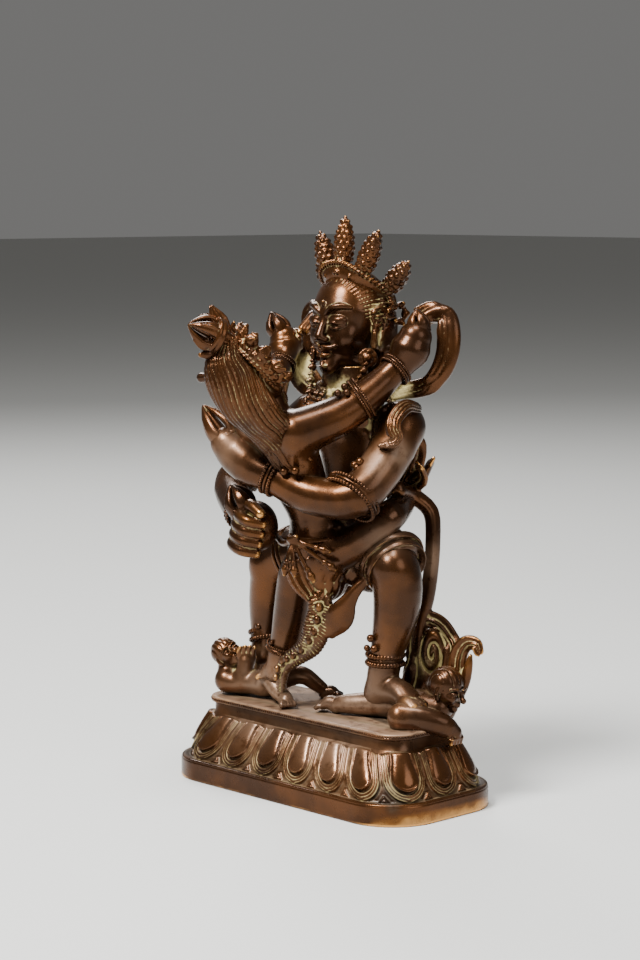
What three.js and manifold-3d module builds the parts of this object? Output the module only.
// A cast bronze of a crowned deity and consort embracing, standing on two prostrate figures
// on an oblong lotus plinth. Millimetres, +Z up. The deity faces -Y, and its left side is +X.
// The origin is the middle of the plinth's underside.
import * as THREE from "three";
import { mergeVertices } from "three/addons/utils/BufferGeometryUtils.js";
import Module from "manifold-3d";

const wasm = await Module();
wasm.setup();

// Plinth
const footLength = 120;
const footDepth = 59.4;
const footCorner = 19;
const footHeight = 7.7;
const lotusTop = 23.4;
const bandTop = 27.2;
const plinthHeight = 29.4;
const bandLength = 97;
const bandDepth = 33.6;
const bandCorner = 8;
const rimOverhang = 1.4;
const petalCount = 18;
const petalSwell = 2.6;
const castingGap = 0.3;

// Deity
const headCentre = [5.4, 3, 167];
const crownSpan = 14.2;
const crownLift = 13;
const crownLeaves = [
  { angle: -68, spread: -9, rise: 9 },
  { angle: -35, spread: -6, rise: 14 },
  { angle: 0, spread: 0, rise: 17.2 },
  { angle: 35, spread: 7, rise: 14.5 },
  { angle: 68, spread: 9, rise: 9.5 },
];
const crownLeafWidth = 3;
const anklet = { ridge: 0.9, height: 5.2 };
const bracelet = { ridge: 0.8, height: 4.2 };

// Small parts
const garlandBeads = 9;
const garlandBeadRadius = 1.15;
const fingerRadius = 2;
const rosettePetals = 8;
const stoutLimb = 5;
const mergeWithin = 0.25;

const v = (x, y, z) => new THREE.Vector3(x, y, z);

// A closed geometry as a solid, with its shared vertices merged and its faces pointing out.
function solid(geometry) {
  const bare = geometry.clone();
  bare.deleteAttribute("normal");
  bare.deleteAttribute("uv");
  const merged = mergeVertices(bare, 1e-4);
  const index = merged.index.array;
  const faces = [];
  for (let i = 0; i < index.length; i += 3) {
    const [a, b, c] = [index[i], index[i + 1], index[i + 2]];
    if (a !== b && b !== c && c !== a) faces.push([a, b, c]);
  }
  const build = (list) => new wasm.Manifold(new wasm.Mesh({
    numProp: 3,
    vertProperties: new Float32Array(merged.attributes.position.array),
    triVerts: new Uint32Array(list.flat()),
  }));
  const first = build(faces);
  return first.volume() > 0 ? first : build(faces.map(([a, b, c]) => [a, c, b]));
}

// A limb: a round or oval section carried along a curve through points. sizes gives the two
// half-widths at each point, the first along wide. ribs flutes the section lengthwise. A stout
// limb has rounded ends and a slim one has plain pointed ends.
function limb(points, sizes, options = {}) {
  const { sides = 7, rings = points.length, wide = v(0, 0, 1) } = options;
  const { ribs = 0, ribDepth = 0, cap = 1 } = options;
  const pairs = sizes.map((s) => (Array.isArray(s) ? s : [s, s]));
  const path = new THREE.CatmullRomCurve3(points.map((p) => v(...p)), false, "centripetal");
  const girth = new THREE.CatmullRomCurve3(pairs.map(([a, b]) => v(a, b, 0)), false, "centripetal");
  const stout = Math.max(...pairs.flat()) > stoutLimb;
  const profile = stout ? [[0, -0.8], [0.68, -0.55]] : [[0, -0.6]];
  for (let i = 0; i <= rings; i += 1) profile.push([1, i / rings]);
  profile.push(...(stout ? [[0.68, 1.55], [0, 1.8]] : [[0, 1.6]]));
  const geometry = new THREE.LatheGeometry(profile.map(([x, y]) => new THREE.Vector2(x, y)), sides);
  const place = geometry.attributes.position;
  for (let i = 0; i < place.count; i += 1) {
    const station = place.getY(i);
    const along = THREE.MathUtils.clamp(station, 0, 1);
    const beyond = station - along;
    const tangent = path.getTangent(along);
    const side = wide.clone().addScaledVector(tangent, -wide.dot(tangent)).normalize();
    const other = new THREE.Vector3().crossVectors(tangent, side);
    const size = girth.getPoint(along);
    const angle = Math.atan2(place.getZ(i), place.getX(i));
    const flute = 1 + ribDepth * Math.cos(ribs * angle);
    const point = path.getPoint(along)
      .addScaledVector(side, place.getX(i) * size.x * flute)
      .addScaledVector(other, place.getZ(i) * size.y * flute)
      .addScaledVector(tangent, beyond * cap * Math.min(size.x, size.y));
    place.setXYZ(i, point.x, point.y, point.z);
  }
  return solid(geometry);
}

// An egg-shaped ball, turned so that its own z axis points along aim.
function ball(centre, radii, { segments = 8, aim = [0, 0, 1] } = {}) {
  const geometry = new THREE.SphereGeometry(1, segments, Math.max(3, segments / 2));
  geometry.rotateX(Math.PI / 2);
  geometry.scale(...radii);
  const turn = new THREE.Quaternion().setFromUnitVectors(v(0, 0, 1), v(...aim).normalize());
  geometry.applyQuaternion(turn);
  geometry.translate(...centre);
  return solid(geometry);
}

// A bracelet or anklet: a collar of two ridges round a limb, square to axis.
function collar(centre, axis, radius, { ridge, height }, sides = 10) {
  const half = height / 2;
  const outline = [[0, -half], [radius, -half], [radius + ridge, -half / 2], [radius, 0],
    [radius + ridge, half / 2], [radius, half], [0, half]];
  const geometry = new THREE.LatheGeometry(outline.map(([x, y]) => new THREE.Vector2(x, y)), sides);
  const turn = new THREE.Quaternion().setFromUnitVectors(v(0, 1, 0), v(...axis).normalize());
  geometry.applyQuaternion(turn);
  geometry.translate(...centre);
  return solid(geometry);
}

// Half of a vajra: a fluted bud that comes out of a fist and ends in a point.
function bud(base, tip, radius) {
  const along = (t) => base.map((value, axis) => value + (tip[axis] - value) * t);
  const sizes = [radius * 0.9, radius * 1.1, radius * 0.75, 0.35];
  return limb([0, 0.25, 0.6, 1].map(along), sizes, { sides: 8, ribs: 4, ribDepth: 0.2, rings: 3, cap: 0.5 });
}

// A clenched hand: a palm with four fingers laid side by side across it.
function fist(centre, size, across, reach) {
  const parts = [ball(centre, [size, size * 0.8, size])];
  for (let finger = 0; finger < 4; finger += 1) {
    const shift = (0.5 - finger) * fingerRadius * 1.7;
    const knuckle = across.map((value, axis) => centre[axis] + value * shift);
    const ends = [-1, 0, 1].map((step) => knuckle.map((value, axis) => (
      value + reach[axis] * step * size * 0.8 - (axis === 1 ? (1 - step * step) * size * 0.35 : 0)
    )));
    parts.push(limb(ends, [fingerRadius, fingerRadius, fingerRadius * 0.8], { sides: 5, rings: 2 }));
  }
  return wasm.Manifold.union(parts);
}

// A bare foot from heel to toes, with a level sole. split adds five separate toes.
function foot(heel, toes, height, split = false) {
  const middle = heel.map((value, axis) => (value + toes[axis]) / 2);
  const parts = [limb([heel, middle, toes],
    [[height, height * 0.75], [height * 0.75, height * 0.8], [height * 0.4, height * 0.9]],
    { rings: 2, sides: 6 })];
  const ahead = v(...toes).sub(v(...heel)).setZ(0).normalize();
  const aside = v(-ahead.y, ahead.x, 0);
  for (let toe = split ? -2 : 3; toe <= 2; toe += 1) {
    const spot = v(...toes).addScaledVector(aside, toe * height * 0.34).addScaledVector(ahead, height * 0.35);
    parts.push(ball(spot.toArray(), [height * 0.26, height * 0.22, height * 0.3], { segments: 5 }));
  }
  return wasm.Manifold.union(parts);
}

// Plan of the plinth at one height: a rounded oblong that starts at the middle of its front.
function oblong(length, depth, corner) {
  const plan = new THREE.Path();
  const [x, y] = [length / 2 - corner, depth / 2 - corner];
  plan.moveTo(0, -depth / 2);
  plan.lineTo(x, -depth / 2);
  plan.absarc(x, -y, corner, -Math.PI / 2, 0);
  plan.lineTo(length / 2, y);
  plan.absarc(x, y, corner, 0, Math.PI / 2);
  plan.lineTo(-x, depth / 2);
  plan.absarc(-x, y, corner, Math.PI / 2, Math.PI);
  plan.lineTo(-length / 2, -y);
  plan.absarc(-x, -y, corner, Math.PI, 1.5 * Math.PI);
  plan.lineTo(0, -depth / 2);
  return plan;
}

// A closed stack of levels, each a rounded oblong, with an outward swell given by share round
// the plan and by level.
function stack(levels, columns, swell = () => 0) {
  const profile = [new THREE.Vector2(0, 0)];
  levels.forEach((_, row) => profile.push(new THREE.Vector2(1, row)));
  profile.push(new THREE.Vector2(0, levels.length - 1));
  const geometry = new THREE.LatheGeometry(profile, columns);
  const place = geometry.attributes.position;
  const plans = levels.map(({ length, depth, corner }) => oblong(length, depth, corner));
  for (let i = 0; i < place.count; i += 1) {
    const row = Math.round(place.getY(i));
    if (Math.hypot(place.getX(i), place.getZ(i)) < 0.5) {
      place.setXYZ(i, 0, 0, levels[row].z);
    } else {
      const turn = Math.atan2(place.getX(i), place.getZ(i)) / (2 * Math.PI);
      const column = (Math.round(turn * columns) + columns) % columns;
      const point = plans[row].getPointAt(column / columns);
      const ahead = plans[row].getTangentAt(column / columns);
      const push = swell(column / columns, levels[row]);
      place.setXYZ(i, point.x + ahead.y * push, point.y - ahead.x * push, levels[row].z);
    }
  }
  return solid(geometry);
}

// The lotus plinth: a plain foot, a sloping body with petals pushed out of it, a waist band
// and an overhanging rim.
function lotusPlinth() {
  const level = (z, spread, length = bandLength, depth = bandDepth, corner = bandCorner) => ({
    z, length: length + 2 * spread, depth: depth + 2 * spread, corner: corner + spread,
  });
  const foot = (z, spread) => level(z, spread, footLength, footDepth, footCorner);
  const slope = [0, 0.12, 0.4, 0.75, 1].map((rise) => ({
    z: THREE.MathUtils.lerp(footHeight - 0.4, lotusTop, rise),
    length: THREE.MathUtils.lerp(footLength - 7, bandLength, rise),
    depth: THREE.MathUtils.lerp(footDepth - 7, bandDepth, rise),
    corner: THREE.MathUtils.lerp(footCorner - 3, bandCorner, rise),
    rise,
  }));
  return wasm.Manifold.union([
    stack([foot(0, 0), foot(footHeight - 0.8, 0), foot(footHeight, -0.8)], 48),
    stack(slope, petalCount * 4, (share, { rise }) => petalSwell * petalRelief(share * petalCount, rise)),
    stack([level(lotusTop - 1, 0), level(bandTop, 0), level(bandTop + 0.6, rimOverhang),
      level(plinthHeight, rimOverhang)], 48),
  ]);
}

// How far a downward petal stands out, from 0 to 1: a rounded tongue that is fullest near its
// tip and falls to a groove between neighbours. rise runs from the tip, 0, to the band, 1.
function petalRelief(turn, rise) {
  const across = Math.sin(Math.PI * (turn % 1)) ** 0.7;
  const fall = Math.sin(Math.PI * (0.12 + 0.78 * (1 - rise))) ** 0.8;
  return across * fall;
}

// Deity: trunk, head, arms and legs
function deityBody() {
  const leftArm = v(-0.4, 0.62, -0.68);
  const rightArm = v(-0.19, -0.68, 0.71);
  return [
    limb([[2, 6, 80], [2, 7, 92], [3, 8, 105], [4, 9, 120], [4, 8, 131], [5, 7, 137]],
      [[12, 10], [14, 10.5], [11.5, 9], [16, 9.5], [19, 8.4], [9, 7.4]],
      { sides: 10, rings: 5, wide: v(1, 0, 0) }),
    limb([[5, 7, 134], [5.4, 3, 150]], [7.2, 7.4], { rings: 1 }),
    limb([[29, 7, 131], [30, -2, 122], [29, -17, 109], [14, -23, 108.5], [2, -29, 114], [-9, -32.5, 120],
      [-17, -35, 126]], [8.6, 7.8, 7.2, 6.4, 5.6, 8, 5.6], { sides: 8, rings: 10, wide: leftArm }),
    limb([[-19, 8, 132], [-32, 0, 120], [-41, -10, 108], [-29, -19, 102], [-18, -25, 99]],
      [8.6, 7.6, 6.6, 5.6, 5.2], { sides: 8, wide: rightArm }),
    limb([[10, 4, 86], [23, 1, 87.5], [31.5, 0.5, 84.5], [32, 1.5, 76], [30.5, 1.5, 64], [27, 1, 52], [25.5, 1, 42]],
      [10.5, 9.6, 8.8, 8.8, 7.9, 6.4, 6.4], { sides: 8, rings: 8, wide: v(0, 1, 0) }),
    limb([[-4, 4, 84], [-18, 0, 84], [-29, -1, 77], [-32, 0, 66], [-35, 1, 57], [-36.5, 2, 47]],
      [10.5, 9.4, 8.4, 7.6, 6.6, 6], { sides: 8, rings: 6, wide: v(0, 1, 0) }),
    foot([24, 1, 42], [44, 1.5, 39.6], 5.6, true),
    foot([-36, 1, 47], [-45, 8, 44], 4.8),
    fist([-11, -27, 96], 9, [0.15, 0, 1], [0.95, -0.2, 0.2]),
    bud([-15, -33, 125], [-25.5, -37, 138], 4.6),
    bud([-13, -29.5, 100], [-17, -32, 110], 4.8),
    ...shoulderLock(),
  ];
}

// A ribbed lock of hair that lies in an S over the near shoulder.
function shoulderLock() {
  const path = [[33, -0.5, 139], [37, 0, 137], [36, -2.5, 132.5], [37.5, -5, 128], [34, -9.5, 125]];
  return [limb(path, [[1.2, 1.6], [1.4, 2.6], [1.4, 2.8], [1.4, 2.6], [1, 1.2]],
    { sides: 6, ribs: 3, ribDepth: 0.15, rings: 5, wide: v(0.72, -0.7, 0) })];
}

function deityHead() {
  const [x, y, z] = headCentre;
  const brow = z + 5.5;
  const parts = [
    ball(headCentre, [13, 13.4, 19], { segments: 10 }),
    ball([x, y + 2, z + 10], [12.4, 12.6, 10.4]),
    limb([[x, y - 3, z - 4], [x, y - 5, z - 15]], [[10.2, 8.8], [6.4, 5]],
      { wide: v(1, 0, 0), rings: 2, sides: 8 }),
    limb([[x, y - 12.4, z + 3.5], [x, y - 14.6, z - 4.5]], [[1.2, 1], [2.4, 1.9]],
      { wide: v(1, 0, 0), rings: 1, sides: 5 }),
    limb([[x - 3.6, y - 10.8, z - 9.5], [x, y - 11.8, z - 9], [x + 3.6, y - 10.8, z - 9.5]],
      [0.8, 1.2, 0.8], { sides: 5, rings: 2 }),
  ];
  for (const side of [-1, 1]) {
    parts.push(
      limb([[x + side * 1.6, y - 12.4, brow], [x + side * 6, y - 11, brow + 2.4],
        [x + side * 10.2, y - 7, brow + 1]], [1, 1.5, 0.8], { sides: 5, rings: 2 }),
      limb([[x + side * 12.8, y + 3, z + 5], [x + side * 13.6, y + 3, z - 1],
        [x + side * 12.4, y + 1.5, z - 8]], [[1.6, 3.2], [1.4, 2.6], [1.4, 2]],
        { sides: 6, rings: 2, wide: v(1, 0, 0) }),
      rosette([x + side * 11.8, 0, z - 11], [side, -0.9, 0], 4.4),
      limb([[x + side * 11, y + 6, z + 5], [x + side * 14, y + 10.5, z + 4.5]], [[3.4, 1.6], [3.6, 2.2]],
        { sides: 6, rings: 1 }),
    );
  }
  return parts;
}

// An ear ornament: a flower of round petals about a boss, facing along out.
function rosette(centre, out, radius) {
  const facing = v(...out).normalize();
  const up = v(0, 0, 1);
  const aside = new THREE.Vector3().crossVectors(facing, up).normalize();
  const outline = [[0, -0.7], [1, -0.7], [1, 0.1], [0, 0.3]];
  const profile = outline.map(([r, y]) => new THREE.Vector2(r * radius, y));
  const disc = new THREE.LatheGeometry(profile, rosettePetals * 2);
  const place = disc.attributes.position;
  for (let i = 0; i < place.count; i += 1) {
    const angle = Math.atan2(place.getZ(i), place.getX(i));
    const lobe = 0.84 + 0.16 * Math.cos(rosettePetals * angle);
    const spot = v(...centre).addScaledVector(aside, place.getX(i) * lobe)
      .addScaledVector(up, place.getZ(i) * lobe).addScaledVector(facing, place.getY(i));
    place.setXYZ(i, spot.x, spot.y, spot.z);
  }
  return solid(disc);
}

// A point on the deity's crown, which arches over the head from ear to ear and sweeps back.
function crownPoint(degrees, lift) {
  const angle = THREE.MathUtils.degToRad(degrees);
  return [
    headCentre[0] + (crownSpan + lift) * Math.sin(angle),
    headCentre[1] - 4 + 12 * Math.sin(angle) ** 4,
    headCentre[2] + 7.5 + (crownLift + lift) * Math.cos(angle),
  ];
}

// The crown: a raised band and five leaves, each swelling and pinching with its rows of studs.
function deityCrown() {
  const stops = [-90, -60, -30, 0, 30, 60, 90];
  const parts = [limb(stops.map((degrees) => crownPoint(degrees, -2)), stops.map(() => [2.6, 2.4]),
    { rings: 8, sides: 6, wide: v(0, 1, 0) })];
  for (const { angle, spread, rise } of crownLeaves) {
    const root = crownPoint(angle, -1.5);
    const swell = [0.9, 1.05, 0.8, 0.98, 0.7, 0.2];
    const stations = swell.map((_, i) => i / (swell.length - 1));
    const path = stations.map((t) => [root[0] + spread * t, root[1], root[2] + (rise + 1.5) * t]);
    parts.push(limb(path, swell.map((s) => [s * crownLeafWidth, s * crownLeafWidth * 0.75]),
      { rings: swell.length - 1, wide: v(1, 0, 0), sides: 6, cap: 0.7 }));
  }
  return parts;
}

// Consort: trunk leaning back, limbs wrapped round the deity, head thrown back
function consortBody() {
  return [
    limb([[5, -9, 82], [5, -11, 91], [5, -14, 101], [4, -19, 112], [4, -25, 124], [3, -29, 131],
      [2.5, -32, 138]], [[11, 9], [12, 9.5], [9, 7.6], [11, 8], [13, 8.6], [13.5, 7], [6, 5.6]],
      { sides: 8, rings: 6, wide: v(1, 0, 0) }),
    limb([[12, -28, 131], [19, -17, 135.5], [24, -8, 142], [29.5, 3, 152.5], [32.5, 7, 159], [33.5, 8, 163]],
      [8, 7.2, 6.2, 5, 7, 5.6], { sides: 8, rings: 7, wide: v(0.85, -0.53, 0) }),
    limb([[-8, -28, 131], [-16, -17, 136], [-24, -5, 146], [-29, 4, 153], [-31, 7, 157], [-32, 7, 160]],
      [7.6, 6.6, 5.4, 4.8, 6.4, 5], { sides: 7, rings: 5, wide: v(-0.85, -0.53, 0) }),
    limb([[8, -10, 87], [20, -8.5, 92], [31, -1, 103], [30, 9, 106], [22, 17, 106], [15, 24, 106]],
      [8.4, 6.6, 5.6, 5, 4.4, 3.8], { sides: 7, rings: 6 }),
    limb([[2, -10, 86], [-6, -11, 79], [-9, -11, 74], [-14, -9.5, 62], [-18, -9.5, 51], [-20, -9.5, 42]],
      [8.5, 6.6, 5.8, 5.2, 4.4, 4.2], { sides: 7, rings: 6, wide: v(0, 1, 0) }),
    limb([[14, 25, 106], [19, 28, 113], [22.5, 30, 120]], [[3.2, 2.6], [3.2, 1.9], [3.2, 1.3]],
      { sides: 6, rings: 2, wide: v(-0.7, 0.7, 0) }),
    foot([-19, -9.5, 41.5], [-24.5, -10.5, 39.5], 4),
    bud([33, 8, 163], [34, 8, 171.5], 4),
    bud([-32, 7, 160], [-36.5, 5, 169], 3.8),
  ];
}

function consortHead() {
  const crown = v(-0.06, -0.76, 0.65).normalize();
  const facing = v(0.1, 0.65, 0.75).normalize();
  const aside = new THREE.Vector3().crossVectors(crown, facing).normalize();
  const hub = v(2, -37, 151).addScaledVector(facing, 5);
  const parts = [
    ball([2, -37, 151], [10, 10.6, 13], { aim: crown.toArray() }),
    limb([[2.5, -32, 150], [3, -30.5, 145]], [[6.6, 6.4], [4.4, 4.6]], { wide: v(1, 0, 0), rings: 1 }),
    limb([[1.4, -49, 161], [2, -49.5, 152.5], [2.6, -44.5, 141.5], [4.8, -36, 131], [7, -28, 124], [8.8, -22.5, 118]],
      [[5.4, 3.6], [9.6, 5.6], [10, 5.4], [8.4, 4.6], [6.4, 3.4], [3.4, 2]],
      { sides: 12, rings: 6, ribs: 6, ribDepth: 0.06, wide: v(1, 0, 0) }),
    limb([[0.6, -49, 162.6], [-0.6, -53, 164.8], [-1.8, -57.4, 165.8], [-3, -60.6, 167.2], [-3.8, -63, 168.6]],
      [3.6, 4.8, 4.8, 3, 0.6], { sides: 8, ribs: 4, ribDepth: 0.2 }),
    limb([[0.4, -50, 165], [-0.5, -52, 170], [-1.8, -53.6, 174.6]], [[3.2, 1.6], [2.8, 1.4], [0.5, 0.4]],
      { rings: 2, sides: 6, wide: v(1, 0, 0) }),
  ];
  // Her crown stands between the hair and the face, square to the face's direction.
  const ring = (angle, radius) => hub.clone().addScaledVector(crown, Math.cos(angle) * radius)
    .addScaledVector(aside, Math.sin(angle) * radius * 0.94);
  for (let leaf = -2; leaf <= 2; leaf += 1) {
    const root = ring(leaf * 0.72, 9.6);
    const tip = ring(leaf * 0.72, 13.6).addScaledVector(facing, 5);
    const path = [root, root.clone().lerp(tip, 0.5), tip].map((p) => p.toArray());
    parts.push(limb(path, [2.6, 2.5, 0.8], { rings: 1, sides: 5 }));
  }
  const band = [-1.7, -0.9, 0, 0.9, 1.7].map((angle) => ring(angle, 10.8).toArray());
  parts.push(limb(band, [1.7, 1.9, 1.9, 1.9, 1.7], { rings: 5, sides: 5, wide: facing }));
  return parts;
}

// Bracelets, armlets and anklets of both figures
function jewellery() {
  return [
    collar([27, 1, 50.5], [0.2, 0, 1], 6.8, anklet),
    collar([-36, 1.6, 52.5], [0.12, -0.05, 1], 6.9, anklet),
    collar([-18.2, -9.5, 50], [0.3, 0, 1], 4.8, bracelet, 8),
    collar([14.5, 24.2, 106.5], [0.6, 0.1, 0.3], 4, bracelet, 8),
    collar([29.6, -11, 113.2], [0.04, 0.75, 0.66], 8, bracelet),
    collar([2.4, -28.8, 113.8], [0.85, 0.4, -0.35], 6.2, bracelet),
    collar([23.4, -9.2, 141.2], [0.43, 0.72, 0.5], 6.6, bracelet),
    collar([29, 1.8, 151.5], [0.42, 0.7, 0.6], 5.3, bracelet),
  ];
}

// Scarves: a ribbed loop behind each shoulder, a stay from the back to the plinth, and the
// scrolls of the scarf's ends on the plinth. Their broad sides face along face.
function scarves() {
  const face = v(0.72, -0.7, 0);
  const loop = [[20, 12, 137], [28, 16, 142], [35, 19, 148.5], [37.2, 21, 157], [37, 22, 165], [33.5, 22, 170],
    [28.5, 19, 168.6], [29, 12, 163]];
  const girths = [[3, 2.6], [2.4, 3], [2.2, 3.6], [2, 3.9], [2, 3.8], [2.2, 3.4], [2.2, 3], [2.4, 2.8]];
  const look = { sides: 8, rings: 8, ribs: 4, ribDepth: 0.12 };
  return [
    limb(loop, girths, { ...look, wide: face }),
    limb(loop.map(([x, y, z]) => [5 - x, y, z]), girths, { ...look, wide: v(-0.72, -0.7, 0) }),
    limb([[22, 10, 110], [26.4, 17, 106.4], [29, 22, 99], [30.5, 24, 89], [30, 23, 76], [29.5, 19, 61]],
      [2.7, 2.3, 2, 2, 2.2, 2.4], { sides: 6, rings: 6, wide: face }),
    limb([[26, 13, 127], [28.5, 17, 124], [25, 19, 113], [18, 17, 104]], [[1.6, 3.4], [1.6, 4], [1.8, 4], [1.8, 3.4]],
      { sides: 6, wide: face }),
    limb([[26, 15, 46], [28.5, 18, 57.5], [34.5, 18, 60.5], [40.5, 17, 56.5], [42.5, 16, 48.5], [40, 15, 40],
      [33, 14, 32]], [[2.4, 3], [2.4, 3], [2.4, 3.2], [2.4, 3.6], [2.4, 4], [2.6, 4.2], [3, 4.4]],
      { sides: 6, rings: 7, wide: face }),
    ball([33.5, 16, 47], [6.4, 6.4, 11], { segments: 8 }),
    limb([[41, 16, 36], [46.5, 16, 46], [47.2, 17, 53.6], [50.5, 17.4, 57], [55, 17.6, 56.6]],
      [[2.4, 3], [2.2, 3], [2.2, 2.8], [1.9, 2.4], [0.7, 1]], { sides: 6, rings: 4, wide: face }),
    limb([[24, 14, 32], [26, 14.5, 42], [26.5, 15, 50]], [[4, 4], [3.6, 3], [2.4, 1.8]], { sides: 6, rings: 2 }),
  ];
}

// Dress: the skirt over the thighs, the bead apron and the garland between the legs
function dress() {
  const hem = { sides: 8, rings: 2, cap: 0.12 };
  const parts = [
    limb([[4, 5, 87], [16, 3, 88.5], [25, 1, 88.2], [29, 0.5, 87.8]], [12, 11.4, 10.4, 10.4], hem),
    limb([[0, 5, 86], [-10, 2, 84], [-19, 0, 83]], [12, 11, 10.2], hem),
  ];
  const knot = [6, -22, 93];
  const ends = [[1, -23, 82], [5, -22.5, 80.5], [10, -20, 79.8], [15, -15.5, 83.5], [18, -11.5, 86.5]];
  for (const end of ends) {
    const middle = knot.map((value, axis) => (value + end[axis]) / 2 + (axis === 1 ? -0.8 : 0));
    parts.push(limb([knot, middle, end], [1.4, 1.3, 1.8], { sides: 4, rings: 1 }));
  }
  const fall = [[26.5, -3, 83.5], [23, -7.5, 78], [17.5, -10.5, 71], [12, -12.5, 63], [4.5, -13.5, 55.5],
    [-5, -13.5, 47.5], [-12, -13, 40], [-14.5, -11.5, 34]];
  parts.push(limb(fall, [[2, 2], [2.4, 2], [7, 2], [6.4, 2], [5.2, 2], [4, 2], [2.6, 2], [2, 2]],
    { sides: 6, rings: 8, wide: v(0.62, 0.5, -0.6) }));
  const line = new THREE.CatmullRomCurve3(fall.slice(2).map((p) => v(...p)), false, "centripetal");
  for (let bead = 0; bead < garlandBeads; bead += 1) {
    const spot = line.getPoint(bead / garlandBeads).add(v(0.4, -1.7, 0.5));
    const radii = [garlandBeadRadius, garlandBeadRadius, garlandBeadRadius * 1.2];
    parts.push(ball(spot.toArray(), radii, { segments: 4 }));
  }
  return parts;
}

// A small open hand: a flat paddle with four fingers marked by ribs.
function hand(wrist, tips, wide) {
  return limb([wrist, tips], [[2, 1.1], [2.8, 1.2]], { sides: 8, rings: 1, ribs: 4, ribDepth: 0.2, wide });
}

// The two figures underfoot
function trampledFigures() {
  return [
    limb([[44, 9, 35], [38, 6, 35.5], [30, 3, 34.5]], [[4.6, 6], [5, 6.5], [4.4, 5.6]]),
    limb([[29, 3, 34], [21, 0, 33.8], [13, -4, 33.2], [7, -5.6, 32.4]], [4.6, 4, 3.4, 2.6], { sides: 6 }),
    foot([7.5, -5.8, 32.4], [3.4, -7, 32.4], 2.6),
    limb([[28, 8, 34], [18, 9, 33], [10, 9, 32]], [4.2, 3.4, 2.6], { sides: 6 }),
    ball([46.5, 10, 40.3], [4.8, 4.8, 5.2]),
    limb([[43, 8, 43], [46.5, 10, 45], [50.5, 12, 43]], [[2.2, 4], [2.4, 4.6], [1.6, 3.6]],
      { sides: 8, rings: 2, ribs: 4, ribDepth: 0.1 }),
    limb([[42, 5, 35.5], [41, -3, 34], [40.5, -7.5, 33], [46, -3, 32.8], [51, 3, 31], [53, 7, 27.6]],
      [4, 3.6, 3.4, 3, 2.6, 2.4], { sides: 6, rings: 5 }),
    hand([53.4, 7.4, 29], [54.4, 8, 25], v(0, 1, 0)),
    limb([[-45, -8.5, 34.6], [-38, -7, 34.2], [-29, -5, 34.6]], [[4.2, 5], [4.4, 5.4], [4.2, 5.4]]),
    limb([[-42, -5, 34], [-43, 0, 37], [-42, 4, 42]], [4.4, 4.6, 4], { sides: 6 }),
    ball([-45, -8.6, 43.6], [5.4, 5.2, 5.4]),
    limb([[-45, -8, 36], [-45, -8.4, 40]], [3.6, 3.4], { sides: 6, rings: 1 }),
    limb([[-43, -11, 35], [-36.5, -11, 33.6], [-38.5, -8.6, 38], [-40, -7.4, 42.5]], [3, 3, 2.8, 2.4], { sides: 6 }),
    hand([-40, -7.4, 42], [-39.6, -6.6, 46], v(1, 0.5, 0)),
    limb([[-29, -6, 34.6], [-23, -7, 35.6], [-17, -8, 33.6], [-12.5, -9.4, 32.2]],
      [4.6, 3.6, 2.9, 2.6], { sides: 6 }),
    foot([-12.5, -9.4, 32.4], [-9.6, -11.6, 32.2], 2.6),
    limb([[-28, -3, 34.4], [-23, 0, 37], [-18, 3, 38], [-15, 6.5, 35], [-12.5, 9.6, 32.6]],
      [4.4, 3.8, 3.4, 2.8, 2.4], { sides: 6 }),
    foot([-12.5, 9.6, 32.4], [-8.5, 12.4, 32], 2.4),
  ];
}

// The casting sits on the plinth's flat top, so whatever would dip into it is trimmed away. Slivers
// left where its parts meet are merged into their neighbours.
function aboveTop(casting) {
  const reach = 200;
  const end = bandLength / 2 + rimOverhang + castingGap;
  const cut = new THREE.BoxGeometry(2 * end, 2 * reach, reach);
  cut.translate(0, 0, plinthHeight + castingGap - reach / 2);
  return casting.subtract(solid(cut)).asOriginal().simplify(mergeWithin);
}

function meshOf(name, casting, look) {
  const { vertProperties, triVerts } = casting.getMesh();
  const geometry = new THREE.BufferGeometry();
  geometry.setAttribute("position", new THREE.BufferAttribute(new Float32Array(vertProperties), 3));
  geometry.setIndex(new THREE.BufferAttribute(new Uint32Array(triVerts), 1));
  geometry.computeVertexNormals();
  const mesh = new THREE.Mesh(geometry, new THREE.MeshStandardMaterial(look));
  mesh.name = name;
  return mesh;
}

const statue = new THREE.Group();
const figures = wasm.Manifold.union([
  ...deityBody(), ...deityHead(), ...deityCrown(), ...consortBody(), ...consortHead(),
  ...jewellery(), ...scarves(), ...dress(), ...trampledFigures(),
]);
statue.add(meshOf("lotus_plinth", lotusPlinth(), { color: 0x5a3a24, roughness: 0.42, metalness: 0.85 }));
statue.add(meshOf("figure_group", aboveTop(figures), { color: 0x4a2f20, roughness: 0.36, metalness: 0.85 }));

export default statue;
